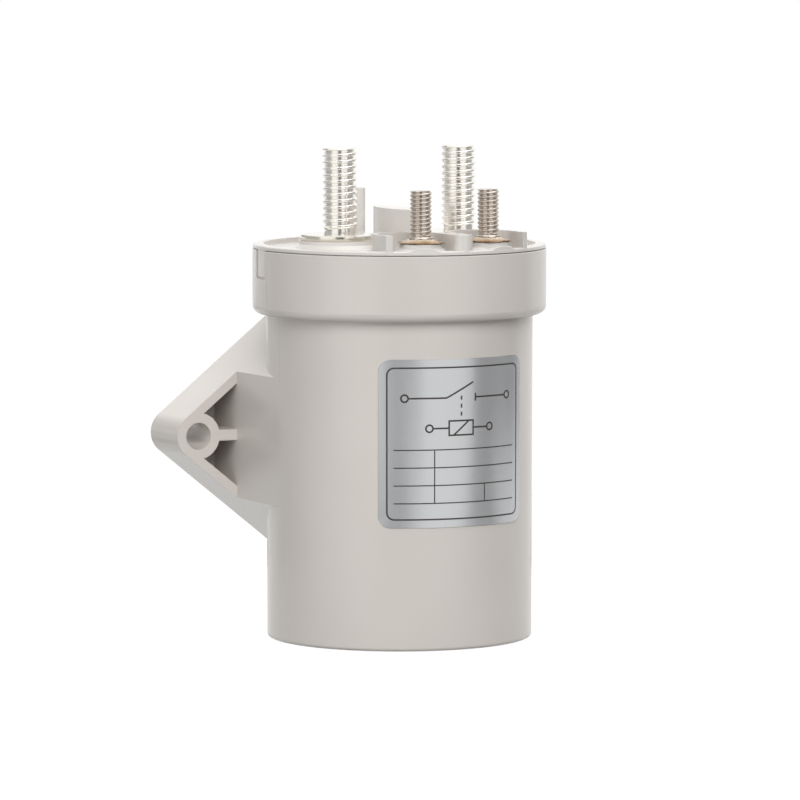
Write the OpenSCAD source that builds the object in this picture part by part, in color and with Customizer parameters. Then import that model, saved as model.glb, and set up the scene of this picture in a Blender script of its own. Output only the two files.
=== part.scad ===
// Sealed high voltage direct current contactor with stud terminals.
// Z is up, the foot stands on z = 0, the label looks along -Y and the mounting face along +Y.

/* [Housing] */
// Height from the foot to the top of the cover's rim
overall_h = 90; // [80:0.5:110]
// Radius of the can at its foot
body_r = 30.2; // [28:0.1:34]
// How much the can's radius grows up to the collar, as mould draft
body_draft = 0.2; // [0:0.05:0.5]
// Wall of the can
wall = 2.4; // [2:0.1:3]
// Thickness of the can's floor
floor_t = 2.5; // [2:0.1:4]
// Rounding of the can's foot
foot_fillet = 0.8; // [0.3:0.1:1.2]
// How far the collar stands out from the can
collar_step = 3.1; // [2.6:0.1:4]
// Height of the collar band
collar_h = 14.8; // [13:0.1:20]
// Rounding of the collar's lower edge
collar_fillet = 1.9; // [0.5:0.1:2.2]
// Wall of the collar
collar_wall = 2.1; // [1.8:0.1:2.6]
// Thickness of the shelf inside the collar
shelf_t = 3; // [2.4:0.1:4]

/* [Mounting base] */
// Distance between the two mounting holes
mount_spacing = 80; // [76:0.5:100]
// Diameter of the mounting holes
mount_hole_d = 6.2; // [4:0.1:7]
// Height of the mounting holes above the foot
mount_z = 45.5; // [40:0.5:55]
// Distance from the can's wall to the mounting face
mount_back = 7; // [5:0.1:10]
// Depth of the mounting ears
ear_depth = 14.6; // [10:0.1:16]
// Wall around each mounting hole
ear_boss_wall = 2.25; // [1.8:0.05:4]
// Slope of the ears above and below the hole, in degrees
ear_slope = 38.5; // [34:0.5:42]
// Wall of the ears along their slopes
ear_wall = 2.15; // [1.6:0.05:3]
// Thickness of the web and of the closed back of the ears
ear_web = 2.5; // [1.6:0.1:4]
// Distance between the ribs on the back
rib_pitch = 9.6; // [8:0.1:12]
// Thickness of the ribs on the back
rib_t = 2.2; // [1.6:0.1:3]
// How far the pockets on the back stay from the base's outline
back_margin = 2.6; // [2:0.1:4]

/* [Top cover] */
// Height of the cover's edge above the housing
cover_edge_t = 1.1; // [0.8:0.1:2]
// Chamfer on the collar's top edge
seam_groove = 0.15; // [0.1:0.05:0.4]
// Height of the open seam under the cover's edge
seam_slit = 0.2; // [0.1:0.05:0.4]
// Depth of the open seam under the cover's edge
seam_depth = 0.8; // [0.4:0.1:1.2]
// Depth of the cover's floor under its rim
cover_recess = 1; // [0.6:0.1:2]
// Width of the cover's raised rim
cover_rim_w = 2.4; // [2.3:0.1:3]
// Thickness of the cover's floor
cover_t = 2.2; // [1.8:0.1:3]
// Depth of the locating skirt under the cover
skirt_h = 3.2; // [2:0.1:4]
// Thickness of the locating skirt
skirt_t = 0.9; // [0.8:0.1:1.2]
// Width of the key tabs at the cover's edge
key_w = 5.4; // [4:0.1:8]
// Height of the key tabs
key_h = 6; // [4:0.1:8]
// Angle of the key tabs behind the sideways direction
key_angle = 7.3; // [4:0.1:12]
// Height of the power bosses above the cover's floor
boss_h = 2.1; // [1.5:0.1:4]
// Height of the coil bosses above the cover's floor
coil_boss_h = 2.5; // [1.5:0.1:4]
// How far the coil bosses spread at their foot
coil_boss_flare = 2.2; // [0:0.1:2.6]
// Height of the coil bay walls above the rim
bay_h = 3.5; // [2:0.1:6]
// Inner radius of the coil bays
bay_r = 7.1; // [6.4:0.1:7.6]
// Thickness of the coil bay walls
bay_wall = 1.4; // [1:0.1:2]
// How far each bay's rounded back is centred behind its stud
bay_back = 4.1; // [2:0.1:6]
// How far each bay is centred outwards from its stud
bay_shift = 0.8; // [0:0.1:1.5]
// Height of the middle fin above the rim
fin_h = 7.9; // [4:0.1:12]
// Thickness of the middle fin at its middle
fin_t = 7; // [3:0.1:8]
// Length of the middle fin, which is pointed at both ends
fin_len = 24; // [16:0.1:26]
// How far the middle fin is set back from the can's axis
fin_shift = 0.9; // [0:0.1:2]
// Height of the rear fin above the rim
rear_fin_h = 11.6; // [6:0.1:14]
// Thickness of the rear fin
rear_fin_t = 2.6; // [1.6:0.1:4]
// Gap between the middle fin and the rear fin
fin_gap = 5.9; // [3:0.1:8]

/* [Terminals] */
// Distance between the power studs
power_spacing = 30.4; // [27:0.1:32]
// Diameter of the power studs
power_d = 7.94; // [6:0.01:10]
// Length of the power studs above their flange
power_len = 19.6; // [14:0.1:26]
// Diameter of the flange on the power studs
flange_d = 18; // [14:0.1:20]
// Thickness of the flange on the power studs
flange_t = 1.3; // [1:0.1:3]
// Diameter of the power studs inside the cover
shank_d = 10; // [8:0.1:12]
// Distance between the coil studs
coil_spacing = 17; // [15.4:0.1:19]
// Distance from the collar's inner wall to the axis of the coil studs
coil_inset = 3; // [2.8:0.1:5]
// Diameter of the coil studs
coil_d = 4.83; // [4:0.01:6]
// Length of the coil studs above their boss
coil_len = 11.8; // [8:0.1:16]
// Diameter of the coil bosses
coil_boss_d = 9.6; // [8:0.1:9.8]
// Diameter of the coil studs inside the cover
tail_d = 4; // [3:0.1:4.4]
// How far each seal stands out over its boss
seal_over = 0.5; // [0:0.1:0.8]
// Height of the seal at the foot of each coil stud
seal_h = 1.2; // [0.8:0.1:2]
// Diameter of the plain foot of the coil studs
coil_foot_d = 5.5; // [5:0.1:6]

/* [Label] */
// Width of the label along the can's front
label_w = 38.4; // [24:0.1:44]
// Height of the label
label_h = 37.8; // [20:0.1:42]
// Height of the label's lower edge above the foot
label_z = 27.9; // [20:0.1:34]
// Thickness of the label
label_t = 0.15; // [0.1:0.01:0.3]
// Corner rounding of the label
label_corner = 2.6; // [0.5:0.1:5]

/* [Coil and armature] */
// Steel thickness of the yoke cup
yoke_t = 2.2; // [1.6:0.1:3]
// Thickness of the bobbin's flanges
bobbin_flange_t = 1.5; // [1:0.1:2.5]
// Wall of the bobbin's tube
bobbin_wall = 1.2; // [0.8:0.1:2]
// Space between the winding and the bobbin's edge
winding_inset = 1.5; // [0.8:0.1:3]
// Wall of the guide sleeve
sleeve_t = 0.4; // [0.3:0.05:0.8]
// Thickness of the pole plate
plate_t = 3; // [2:0.1:5]
// Radius of the plunger and the fixed core
core_r = 8; // [7:0.1:10]
// Height of the plunger
plunger_h = 15; // [12:0.5:18]
// Metal under the shaft at the plunger's foot
shaft_seat = 3; // [2:0.1:4]
// Radius of the plunger's shaft
shaft_r = 2; // [1.6:0.1:2.4]
// Depth of the spring pockets in the plunger and the core
pocket_depth = 5; // [4:0.1:7]
// Wall around the spring pockets
pocket_wall = 3; // [2.4:0.1:3.4]
// Wire radius of the return spring
return_wire_r = 0.5; // [0.3:0.05:0.6]

/* [Contacts] */
// Opening between the contacts
contact_gap = 2; // [1:0.1:3]
// Further travel of the plunger after the contacts meet
overtravel = 1; // [0.5:0.1:1.5]
// Height of the arc chamber
chamber_h = 35.4; // [33:0.1:38]
// Distance from the header down to the fixed contacts
contact_drop = 11; // [9:0.1:13]
// Radius of the contacts
contact_r = 4.5; // [3.5:0.1:5]
// Thickness of the contacts
contact_t = 1.2; // [0.8:0.1:2]
// Width of the contact bridge
bridge_w = 11; // [9.5:0.1:13]
// Thickness of the contact bridge
bridge_t = 3.4; // [2:0.1:4]
// Length of the overtravel spring
overtravel_spring_len = 7; // [6:0.1:8]
// Wire radius of the overtravel spring
overtravel_wire_r = 0.55; // [0.4:0.05:0.7]
// Wall of the arc chamber
chamber_wall = 2; // [1.5:0.1:2.5]
// Space between the contact bridge and the arc chamber at its ends
chamber_space = 1; // [0.8:0.1:1.4]
// Space between the contact bridge and the arc chamber at its sides
chamber_side = 3.5; // [2.5:0.1:4]
// Thickness of the blowout magnets
magnet_t = 3; // [2:0.1:4]
// Height of the blowout magnets
magnet_h = 14; // [10:0.1:18]
// Thickness of the header over the arc chamber
header_t = 5; // [4:0.1:5.4]
// Thickness of the potting over the header
potting_t = 3; // [2:0.1:3.2]

/* [Clearances] */
// Gap around pieces that are pressed, cast or glued in place
seat_gap = 0.05; // [0.02:0.01:0.1]
// Gap around pieces that are set in place
fit_gap = 0.2; // [0.1:0.05:0.3]
// Gap around pieces that slide
slide_gap = 0.08; // [0.04:0.01:0.1]

/* [Hidden] */
$fn = 96;
e = 0.5;
seam_z = overall_h - cover_edge_t;
cover_floor_z = overall_h - cover_recess;
cover_under_z = cover_floor_z - cover_t;
collar_z = seam_z - collar_h;
collar_r = body_r + body_draft + collar_step;
collar_in_r = collar_r - collar_wall;
body_in_r = body_r - wall;
shelf_z = collar_z + shelf_t;
header_z1 = shelf_z + header_t;
potting_z1 = header_z1 + potting_t;
header_r = collar_in_r - fit_gap;
power_x = power_spacing / 2;
coil_x = coil_spacing / 2;
shank_r = shank_d / 2;
tail_r = tail_d / 2;
flange_z = cover_floor_z + boss_h;
coil_boss_z = cover_floor_z + coil_boss_h;
coil_foot_z = coil_boss_z + seal_h + 0.3;
boss_r = flange_d / 2 + 0.3;
boss_flare = 1.1;
rim_r = collar_r - 0.1;
coil_y = sqrt(pow(collar_in_r - coil_inset, 2) - coil_x * coil_x);
bay_x = coil_x + bay_shift;
bay_y = coil_y - bay_back;
bay_out_r = bay_r + bay_wall;
mid_wall_r = bay_x - bay_r;
mid_wall_y = rim_r - mid_wall_r - 0.05;
fin_arc_r = (fin_len * fin_len + fin_t * fin_t) / (4 * fin_t);
rear_fin_y0 = fin_shift + fin_len / 2 + fin_gap;
rear_fin_y1 = rim_r - 0.5 * cover_rim_w;
mount_face_y = body_r + mount_back;
mount_x = mount_spacing / 2;
ear_boss_r = mount_hole_d / 2 + ear_boss_wall;
ear_front_y = mount_face_y - ear_depth;
base_half_h = collar_z + 1 - mount_z;
side_x = body_r + body_draft * mount_z / collar_z;
yoke_r = body_in_r - fit_gap;
coil_z0 = floor_t + yoke_t;
plate_z1 = shelf_z - chamber_h;
coil_z1 = plate_z1 - plate_t;
sleeve_in_r = core_r + slide_gap;
sleeve_r = sleeve_in_r + sleeve_t;
bobbin_in_r = sleeve_r + seat_gap;
bobbin_r = yoke_r - yoke_t - fit_gap;
winding_in_r = bobbin_in_r + bobbin_wall + seat_gap;
winding_r = bobbin_r - winding_inset;
winding_z0 = coil_z0 + bobbin_flange_t + seat_gap;
winding_z1 = coil_z1 - bobbin_flange_t - seat_gap;
lead_r = 0.5;
lead_rise = 6;
lead_drop = 5;
lead_y0 = 0.5 * (winding_in_r + winding_r) + 1.5;
lead_y1 = sqrt(pow(body_in_r - lead_r - 0.1, 2) - coil_x * coil_x);
tail_z = shelf_z + 1.2;
plunger_z = coil_z0 + sleeve_t;
plunger_z1 = plunger_z + plunger_h;
core_z = plunger_z1 + contact_gap + overtravel + 0.2;
pocket_r = core_r - pocket_wall;
return_spring_z0 = plunger_z1 - pocket_depth;
return_spring_z1 = core_z + pocket_depth;
return_spring_r = pocket_r - return_wire_r - 0.25;
fixed_z = shelf_z - contact_drop;
moving_z = fixed_z - contact_gap - contact_t;
bridge_z = moving_z - bridge_t;
bridge_half = power_x + contact_r + 1;
seat_t = 0.8;
seat_z = bridge_z - overtravel_spring_len - seat_t;
overtravel_spring_r = shaft_r + overtravel_wire_r + 1;
chamber_x = bridge_half + chamber_space + chamber_wall;
chamber_y = bridge_w / 2 + chamber_side + chamber_wall;
chamber_floor_t = 2;
label_angle = label_w / body_r * 180 / PI;

plastic = [0.79, 0.77, 0.74];
plated = [0.80, 0.81, 0.82];
steel = [0.55, 0.55, 0.54];
copper = [0.72, 0.45, 0.28];

// A ring around the Z axis
module ring(r_in, r_out, z0, z1) {
    translate([0, 0, z0])
        difference() {
            cylinder(r = r_out, h = z1 - z0);
            translate([0, 0, -e])
                cylinder(r = r_in, h = z1 - z0 + 2 * e);
        }
}

// An upright bore that cuts through everything between two heights
module bore(x, y, r, z0, z1) {
    translate([x, y, z0])
        cylinder(r = r, h = z1 - z0);
}

// A flat outline in X and Z pushed along Y
module along_y(y0, y1) {
    translate([0, y1, 0])
        rotate([90, 0, 0])
            linear_extrude(height = y1 - y0)
                children();
}

// The outer outline of the can, turned around Z
module can_outline() {
    top_r = body_r + body_draft;
    difference() {
        polygon([[0, 0], [body_r, 0], [top_r, collar_z], [collar_r, collar_z],
                 [collar_r, seam_z - seam_groove], [collar_r - seam_groove, seam_z], [0, seam_z]]);
        translate([body_r - foot_fillet, 0])
            difference() {
                translate([0, -e])
                    square([foot_fillet + e, foot_fillet + e]);
                translate([0, foot_fillet])
                    circle(r = foot_fillet);
            }
        translate([collar_r - collar_fillet, collar_z])
            difference() {
                translate([0, -e])
                    square([collar_fillet + e, collar_fillet + e]);
                translate([0, collar_fillet])
                    circle(r = collar_fillet);
            }
    }
}

// The mounting base seen from the front: two noses joined by slopes, grown inwards by d
module base_outline(d) {
    r = ear_boss_r - d;
    h = base_half_h - d;
    top_x = mount_x - (h - r / cos(ear_slope)) / tan(ear_slope);
    union() {
        for (s = [-1, 1])
            translate([s * mount_x, mount_z])
                circle(r = r);
        polygon([[-mount_x - r * sin(ear_slope), mount_z + r * cos(ear_slope)],
                 [-top_x, mount_z + h], [top_x, mount_z + h],
                 [mount_x + r * sin(ear_slope), mount_z + r * cos(ear_slope)],
                 [mount_x + r * sin(ear_slope), mount_z - r * cos(ear_slope)],
                 [top_x, mount_z - h], [-top_x, mount_z - h],
                 [-mount_x - r * sin(ear_slope), mount_z - r * cos(ear_slope)]]);
    }
}

// The two triangular recesses in the front of each ear
module ear_recesses() {
    difference() {
        base_outline(ear_wall);
        for (s = [-1, 1])
            translate([s * mount_x, mount_z])
                circle(r = ear_boss_r);
        translate([-side_x, 0])
            square([2 * side_x, overall_h]);
        for (s = [-1, 1])
            translate([s * (mount_x + ear_boss_r), mount_z])
                square([2 * ear_boss_r, overall_h], center = true);
        translate([-mount_spacing, mount_z - ear_web / 2])
            square([2 * mount_spacing, ear_web]);
    }
}

// The ribbed recesses in the back of the base
module back_recesses() {
    difference() {
        intersection() {
            base_outline(back_margin);
            translate([-side_x + back_margin, 0])
                square([2 * (side_x - back_margin), overall_h]);
        }
        for (i = [-2 : 2])
            translate([i * rib_pitch - rib_t / 2, 0])
                square([rib_t, overall_h]);
        translate([-side_x, mount_z - rib_t / 2])
            square([2 * side_x, rib_t]);
    }
}

// One key tab or its notch at the cover's edge
module key(s, r_in, r_out, w, z0, z1) {
    intersection() {
        ring(r_in, r_out, z0, z1);
        rotate([0, 0, s > 0 ? key_angle : 180 - key_angle])
            translate([0, -w / 2, z0])
                cube([r_out + e, w, z1 - z0]);
    }
}

// The moulded can with its collar, closed foot and mounting base
module housing() color(plastic) {
    difference() {
        union() {
            rotate_extrude()
                can_outline();
            along_y(ear_front_y, mount_face_y)
                base_outline(0);
            along_y(0, ear_front_y)
                intersection() {
                    base_outline(0);
                    translate([-side_x, 0])
                        square([2 * side_x, overall_h]);
                }
        }
        ring(0, body_in_r, floor_t, seam_z);
        ring(0, collar_in_r, shelf_z, seam_z + e);
        along_y(ear_front_y - e, mount_face_y - ear_web)
            ear_recesses();
        difference() {
            along_y(0, mount_face_y + e)
                back_recesses();
            translate([0, 0, -e])
                cylinder(r = collar_r - 0.6, h = overall_h);
        }
        for (s = [-1, 1]) {
            translate([s * mount_x, mount_face_y + e, mount_z])
                rotate([90, 0, 0])
                    cylinder(r = mount_hole_d / 2, h = ear_depth + 2 * e);
            key(s, collar_r - 1.4, collar_r + e, key_w + 2 * fit_gap, seam_z - key_h - 2 * fit_gap, seam_z + e);
        }
    }
}

// The flat outline of the two coil bays, each a U that opens over the rim
module bay_outline() {
    difference() {
        union() {
            for (s = [-1, 1]) {
                translate([s * bay_x, -bay_y])
                    circle(r = bay_out_r);
                translate([s * bay_x - bay_out_r, -collar_r])
                    square([2 * bay_out_r, collar_r - bay_y]);
            }
            translate([-bay_x, -collar_r])
                square([2 * bay_x, collar_r - bay_y]);
        }
        for (s = [-1, 1]) {
            translate([s * bay_x, -bay_y])
                circle(r = bay_r);
            translate([s * bay_x - bay_r, -2 * collar_r])
                square([2 * bay_r, 2 * collar_r - bay_y]);
        }
        difference() {
            translate([-mid_wall_r - e, -collar_r - e])
                square([2 * (mid_wall_r + e), collar_r + e - mid_wall_y]);
            translate([0, -mid_wall_y])
                circle(r = mid_wall_r);
        }
    }
}

// The middle fin seen from above, two arcs that meet in points
module fin_outline() {
    translate([0, fin_shift])
        intersection_for (s = [-1, 1])
            translate([s * (fin_arc_r - fin_t / 2), 0])
                circle(r = fin_arc_r);
}

// The rear fin seen from above, with round ends
module rear_fin_outline() {
    r = rear_fin_t / 2;
    translate([-r, rear_fin_y0 + r])
        square([rear_fin_t, rear_fin_y1 - rear_fin_y0 - rear_fin_t]);
    for (y = [rear_fin_y0 + r, rear_fin_y1 - r])
        translate([0, y])
            circle(r = r);
}

// A form that rises from the cover up to a height and stays inside its edge
module rising(z1) {
    translate([0, 0, seam_z])
        linear_extrude(height = z1 - seam_z)
            intersection() {
                circle(r = rim_r - 0.05);
                children();
            }
}

// The cover's plate with its rim and skirt, and all that stands on it
module cover_forms() {
    rotate_extrude()
        polygon([[0, cover_under_z], [collar_in_r - fit_gap - skirt_t, cover_under_z],
                 [collar_in_r - fit_gap - skirt_t, seam_z - skirt_h],
                 [collar_in_r - fit_gap, seam_z - skirt_h], [collar_in_r - fit_gap, seam_z],
                 [rim_r, seam_z], [rim_r, overall_h - 0.25], [rim_r - 0.25, overall_h],
                 [rim_r - cover_rim_w, overall_h], [rim_r - cover_rim_w, cover_floor_z],
                 [0, cover_floor_z]]);
    for (s = [-1, 1]) {
        translate([s * power_x, 0, cover_floor_z])
            cylinder(r1 = boss_r + boss_flare, r2 = boss_r, h = 0.6 * boss_h);
        translate([s * power_x, 0, cover_floor_z])
            cylinder(r = boss_r, h = boss_h);
        rising(coil_boss_z)
            translate([s * coil_x, -coil_y])
                circle(d = coil_boss_d);
        intersection() {
            translate([s * coil_x, -coil_y, cover_floor_z])
                cylinder(r1 = coil_boss_d / 2 + coil_boss_flare, r2 = coil_boss_d / 2, h = 0.7 * coil_boss_h);
            bore(0, 0, rim_r - 0.05, seam_z, coil_boss_z);
        }
    }
    rising(overall_h + bay_h)
        bay_outline();
    rising(overall_h + fin_h)
        fin_outline();
    rising(overall_h + rear_fin_h)
        rear_fin_outline();
}

// The moulded cover with the key tabs at its edge
module top_cover() color(plastic) {
    difference() {
        union() {
            difference() {
                cover_forms();
                ring(rim_r - seam_depth, rim_r + e, seam_z - e, seam_z + seam_slit);
            }
            for (s = [-1, 1])
                key(s, collar_r - 1.2, collar_r - 0.25, key_w, seam_z - key_h, overall_h - 0.3);
        }
        for (s = [-1, 1]) {
            bore(s * power_x, 0, shank_r + seat_gap, cover_under_z - e, flange_z + e);
            bore(s * coil_x, -coil_y, tail_r + seat_gap, cover_under_z - skirt_h, coil_boss_z + e);
        }
    }
}

// A power stud: thread, seat flange and the shank down to its contact
module power_stud(s) {
    translate([s * power_x, 0, 0])
        rotate_extrude()
            polygon([[0, fixed_z + contact_t], [shank_r, fixed_z + contact_t], [shank_r, flange_z],
                     [flange_d / 2 - 0.2, flange_z], [flange_d / 2, flange_z + 0.2],
                     [flange_d / 2, flange_z + flange_t - 0.2], [flange_d / 2 - 0.2, flange_z + flange_t],
                     [power_d / 2, flange_z + flange_t], [power_d / 2, flange_z + flange_t + power_len - 0.7],
                     [power_d / 2 - 0.7, flange_z + flange_t + power_len],
                     [0, flange_z + flange_t + power_len]]);
}

module power_stud_left() color(plated)
    power_stud(-1);

module power_stud_right() color(plated)
    power_stud(1);

// A coil stud: thread on its boss and a thinner tail down into the header
module coil_stud(s) {
    translate([s * coil_x, -coil_y, 0])
        rotate_extrude()
            polygon([[0, tail_z], [tail_r, tail_z], [tail_r, coil_boss_z], [coil_foot_d / 2, coil_boss_z],
                     [coil_foot_d / 2, coil_foot_z], [coil_d / 2, coil_foot_z],
                     [coil_d / 2, coil_boss_z + coil_len - 0.5], [coil_d / 2 - 0.5, coil_boss_z + coil_len],
                     [0, coil_boss_z + coil_len]]);
}

module coil_stud_left() color([0.60, 0.56, 0.50])
    coil_stud(-1);

module coil_stud_right() color([0.60, 0.56, 0.50])
    coil_stud(1);

// The amber fillet that seals a coil stud on its boss
module coil_seal(s) {
    r = coil_boss_d / 2 + seal_over;
    r_in = coil_foot_d / 2 + seat_gap;
    intersection() {
        translate([s * coil_x, -coil_y, coil_boss_z])
            rotate_extrude()
                polygon([[r_in, 0], [r - 0.1, 0], [r - 0.15, 0.3 * seal_h], [0.5 * (r + r_in), 0.55 * seal_h],
                         [r_in + 0.5, seal_h], [r_in, seal_h]]);
        bore(0, 0, rim_r - 0.1, coil_boss_z - e, coil_foot_z + e);
    }
}

module coil_seal_left() color([0.72, 0.50, 0.16])
    coil_seal(-1);

module coil_seal_right() color([0.72, 0.50, 0.16])
    coil_seal(1);

// The foil label, wrapped on the front of the can
module rating_label() color([0.78, 0.78, 0.77]) {
    half = body_r * sin(label_angle / 2);
    slope = body_draft / collar_z;
    r0 = body_r + 0.03 + slope * label_z;
    r1 = body_r + 0.03 + slope * (label_z + label_h);
    intersection() {
        rotate_extrude()
            polygon([[r0, label_z], [r0 + label_t, label_z], [r1 + label_t, label_z + label_h],
                     [r1, label_z + label_h]]);
        along_y(-2 * body_r, 0)
            union() {
                translate([-half, label_z + label_corner])
                    square([2 * half, label_h - 2 * label_corner]);
                translate([-half + label_corner, label_z - e])
                    square([2 * (half - label_corner), label_h + 2 * e]);
                for (s = [-1, 1], z = [label_z + label_corner, label_z + label_h - label_corner])
                    translate([s * (half - label_corner), z])
                        circle(r = label_corner);
            }
    }
}

// The steel cup around the coil
module yoke_cup() color(steel)
    difference() {
        ring(0, yoke_r, floor_t, coil_z1);
        ring(0, yoke_r - yoke_t, coil_z0, coil_z1 + e);
    }

// The bobbin that carries the winding
module bobbin() color([0.16, 0.16, 0.17])
    difference() {
        union() {
            ring(bobbin_in_r, bobbin_in_r + bobbin_wall, coil_z0, coil_z1);
            ring(bobbin_in_r, bobbin_r, coil_z0, coil_z0 + bobbin_flange_t);
            ring(bobbin_in_r, bobbin_r, coil_z1 - bobbin_flange_t, coil_z1);
        }
        for (s = [-1, 1])
            bore(s * coil_x, -lead_y0, lead_r + 0.2, winding_z1, coil_z1 + e);
    }

// The enamelled copper winding
module coil_winding() color(copper)
    ring(winding_in_r, winding_r, winding_z0, winding_z1);

// The steel plate that closes the yoke
module pole_plate() color(steel)
    difference() {
        ring(core_r + seat_gap, yoke_r, coil_z1, plate_z1);
        for (s = [-1, 1])
            bore(s * coil_x, -lead_y0, lead_r + 0.8, coil_z1 - e, plate_z1 + e);
    }

// The fixed core in the pole plate
module fixed_core() color(steel)
    difference() {
        ring(shaft_r + slide_gap, core_r, core_z, plate_z1);
        ring(0, pocket_r, core_z - e, core_z + pocket_depth);
    }

// The thin closed tube that guides the plunger
module guide_sleeve() color([0.70, 0.70, 0.70])
    difference() {
        ring(0, sleeve_r, coil_z0, coil_z1);
        ring(0, sleeve_in_r, plunger_z, coil_z1 + e);
    }

// The moving armature
module plunger() color(steel)
    difference() {
        ring(0, core_r, plunger_z, plunger_z1);
        ring(0, pocket_r, plunger_z1 - pocket_depth, plunger_z1 + e);
        ring(0, shaft_r + 0.02, plunger_z + shaft_seat, plunger_z1);
    }

// The shaft between the plunger and the contact bridge
module plunger_shaft() color([0.70, 0.70, 0.70])
    bore(0, 0, shaft_r, plunger_z + shaft_seat, moving_z + seat_t + 0.6);

// Height of a spring's wire along its turns, with one closed turn at each end
function spring_z(t, n, w, h) =
    let (c = 2.1 * w, p = (h - 2 * w - 2 * c) / (n - 2))
    w + (t < 1 ? c * t : t > n - 1 ? h - 2 * w - c * (n - t) : c + p * (t - 1));

// A coil spring as a wire swept along its turns
module spring(r, w, z0, z1, n) {
    per = 16;
    sides = 8;
    m = n * per;
    pts = [for (i = [0 : m], j = [0 : sides - 1])
        let (a = 360 * i / per, b = 360 * j / sides, q = r + w * cos(b))
        [q * cos(a), q * sin(a), z0 + spring_z(i / per, n, w, z1 - z0) + w * sin(b)]];
    faces = concat(
        [[for (j = [0 : sides - 1]) j]],
        [for (i = [0 : m - 1], j = [0 : sides - 1])
            let (k = (j + 1) % sides)
            [i * sides + j, (i + 1) * sides + j, (i + 1) * sides + k, i * sides + k]],
        [[for (j = [sides - 1 : -1 : 0]) m * sides + j]]);
    polyhedron(points = pts, faces = faces, convexity = 10);
}

// The spring that opens the contacts
module return_spring() color(plated)
    spring(return_spring_r, return_wire_r, return_spring_z0 + 0.02, return_spring_z1 - 0.02, 7);

// The washer under the overtravel spring
module spring_seat() color(plated)
    ring(shaft_r + 0.02, overtravel_spring_r + overtravel_wire_r + 0.6, seat_z, seat_z + seat_t);

// The spring that presses the bridge onto the contacts
module overtravel_spring() color(plated)
    spring(overtravel_spring_r, overtravel_wire_r, seat_z + seat_t + 0.02, bridge_z - 0.02, 5);

// The ring that holds the bridge on the shaft
module bridge_retainer() color(plated)
    ring(shaft_r + 0.02, shaft_r + 1.6, moving_z, moving_z + seat_t);

// The copper bridge between the contacts
module contact_bridge() color(copper)
    difference() {
        translate([0, 0, bridge_z])
            linear_extrude(height = bridge_t)
                union() {
                    square([2 * bridge_half - bridge_w, bridge_w], center = true);
                    for (s = [-1, 1])
                        translate([s * (bridge_half - bridge_w / 2), 0])
                            circle(r = bridge_w / 2);
                }
        ring(0, shaft_r + slide_gap, bridge_z - e, moving_z + e);
    }

module moving_contact_left() color([0.75, 0.74, 0.72])
    bore(-power_x, 0, contact_r, moving_z, moving_z + contact_t);

module moving_contact_right() color([0.75, 0.74, 0.72])
    bore(power_x, 0, contact_r, moving_z, moving_z + contact_t);

module fixed_contact_left() color([0.75, 0.74, 0.72])
    bore(-power_x, 0, contact_r, fixed_z, fixed_z + contact_t);

module fixed_contact_right() color([0.75, 0.74, 0.72])
    bore(power_x, 0, contact_r, fixed_z, fixed_z + contact_t);

// The insulating box around the contacts, open under the header
module arc_chamber() color([0.86, 0.84, 0.78])
    difference() {
        intersection() {
            translate([-chamber_x, -chamber_y, plate_z1])
                cube([2 * chamber_x, 2 * chamber_y, chamber_h]);
            ring(0, body_in_r - fit_gap, plate_z1, shelf_z);
        }
        translate([-chamber_x + chamber_wall, -chamber_y + chamber_wall, plate_z1 + chamber_floor_t])
            cube([2 * (chamber_x - chamber_wall), 2 * (chamber_y - chamber_wall), chamber_h]);
        ring(0, shaft_r + 0.6, plate_z1 - e, plate_z1 + chamber_floor_t + e);
    }

// A magnet on one side of the arc chamber
module blowout_magnet(s) {
    y = s > 0 ? chamber_y + seat_gap : -chamber_y - seat_gap - magnet_t;
    translate([-power_x, y, fixed_z - magnet_h / 2])
        cube([power_spacing, magnet_t, magnet_h]);
}

module blowout_magnet_front() color([0.25, 0.25, 0.26])
    blowout_magnet(-1);

module blowout_magnet_rear() color([0.25, 0.25, 0.26])
    blowout_magnet(1);

// The insulating plate that closes the contact space
module header() color([0.90, 0.88, 0.84])
    difference() {
        ring(0, header_r, shelf_z, header_z1);
        for (s = [-1, 1]) {
            bore(s * power_x, 0, shank_r + seat_gap, shelf_z - e, header_z1 + e);
            bore(s * coil_x, -coil_y, tail_r + seat_gap, shelf_z - e, header_z1 + e);
        }
    }

// The cast resin over the header
module potting_resin() color([0.20, 0.19, 0.18])
    difference() {
        ring(0, header_r, header_z1, potting_z1);
        for (s = [-1, 1]) {
            bore(s * power_x, 0, shank_r + seat_gap, header_z1 - e, potting_z1 + e);
            bore(s * coil_x, -coil_y, tail_r + seat_gap, header_z1 - e, potting_z1 + e);
        }
    }

// A coil end, from the winding past the chamber to the tail of its stud
module coil_lead(s) {
    sides = 10;
    z = [winding_z1 + 0.05, plate_z1 + lead_rise, shelf_z - lead_drop, tail_z - 0.03];
    y = [-lead_y0, -lead_y0, -lead_y1, -lead_y1];
    tilt = atan2(lead_y1 - lead_y0, z[2] - z[1]) / 2;
    lean = [0, tilt, tilt, 0];
    pts = [for (i = [0 : 3], j = [0 : sides - 1])
        let (b = 360 * j / sides, u = lead_r * sin(b))
        [s * coil_x + lead_r * cos(b), y[i] + u, z[i] + u * tan(lean[i])]];
    faces = concat(
        [[for (j = [0 : sides - 1]) j]],
        [for (i = [0 : 2], j = [0 : sides - 1])
            let (k = (j + 1) % sides)
            [i * sides + j, (i + 1) * sides + j, (i + 1) * sides + k, i * sides + k]],
        [[for (j = [sides - 1 : -1 : 0]) 3 * sides + j]]);
    polyhedron(points = pts, faces = faces, convexity = 4);
}

module coil_lead_left() color([0.60, 0.12, 0.10])
    coil_lead(-1);

module coil_lead_right() color([0.12, 0.12, 0.13])
    coil_lead(1);

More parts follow.
